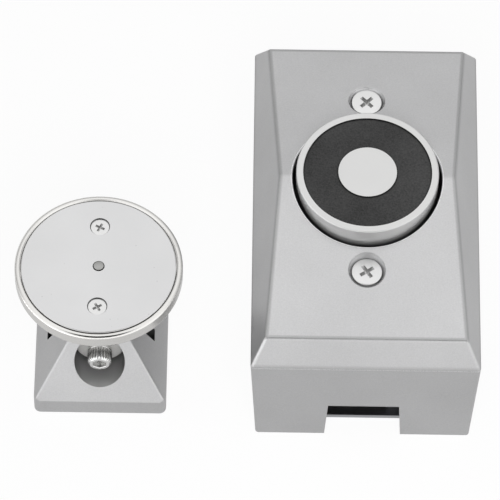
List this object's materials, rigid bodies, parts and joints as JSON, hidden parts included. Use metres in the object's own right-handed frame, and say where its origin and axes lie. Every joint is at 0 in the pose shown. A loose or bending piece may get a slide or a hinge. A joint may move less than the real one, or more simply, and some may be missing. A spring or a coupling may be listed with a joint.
{
  "type": "electromagnetic door holder",
  "caption": "Wall electromagnet in a faceted silver housing with a cable notch, and the swivelling chromed door armature that it holds, as a set.",
  "frame": {"origin": "On the wall plane, midway between the two wall-box slots of the back plate, on the magnet's axis.", "axes": "+Z leaves the wall along the magnet's axis, +Y points to the top of the wall unit (the cable notch is at -Y), and +X is to the right seen from the front. The armature stands at -X on its own door face, also at z = 0."},
  "size_m": [0.1484, 0.1206, 0.0658],
  "materials": {
    "silver_paint": "satin metallic silver paint on a zinc casting, fine grain",
    "zinc_plate": "bright zinc plating on sheet steel",
    "pole_steel": "turned steel, nickel plated",
    "nickel_screw": "bright nickel-plated machine screw",
    "zinc_fastener": "zinc-plated steel fastener",
    "bobbin_plastic": "natural nylon moulding",
    "copper_wire": "enamelled copper winding",
    "black_resin": "black epoxy potting, matt",
    "terminal_plastic": "black moulded plastic",
    "red_insulation": "red wire insulation",
    "black_insulation": "black wire insulation",
    "chrome_plate": "bright chrome plating",
    "barrel_nickel": "satin nickel plating on a turned barrel",
    "cap_screw_steel": "stainless steel, turned and knurled",
    "satin_steel": "satin plated steel",
    "pin_steel": "plain turned steel",
    "spring_steel": "spring wire"
  },
  "bodies": {
    "fixed": {"housing_cover": "silver_paint", "armature_base": "silver_paint", "back_plate": "zinc_plate", "magnet_bracket": "zinc_plate", "cover_posts": "zinc_plate", "magnet_pot": "pole_steel", "magnet_core": "pole_steel", "cover_screws": "nickel_screw", "bracket_screws": "zinc_fastener", "core_bolt": "zinc_fastener", "core_lock_washer": "zinc_fastener", "terminal_screws": "zinc_fastener", "block_screw": "zinc_fastener", "coil_bobbin": "bobbin_plastic", "coil_winding": "copper_wire", "potting_ring": "black_resin", "terminal_block": "terminal_plastic", "coil_lead_red": "red_insulation", "coil_lead_black": "black_insulation", "clamp_screw": "cap_screw_steel", "clamp_lock_washer": "cap_screw_steel"},
    "disc": {"swivel_barrel": "barrel_nickel", "neck_stud": "cap_screw_steel", "neck_jam_nut": "cap_screw_steel", "armature_cup": "chrome_plate", "armature_plate": "satin_steel", "plate_screws": "nickel_screw", "release_spring": "spring_steel"},
    "pin": {"release_pin": "pin_steel"}
  },
  "joints": [
    {"name": "disc_swivel", "type": "hinge", "parent": "fixed", "child": "disc", "pos_m": [-0.0852, -0.0306, 0.01965], "axis": [0, 1, 0], "range_deg": [-70, 70]},
    {"name": "pin_slide", "type": "slide", "parent": "disc", "child": "pin", "axis": [0, 0, 1], "range_m": [-0.0005, 0], "stiffness_N_per_m": 1500, "springref_m": 0.0005, "deforming": ["release_spring"]}
  ]
}
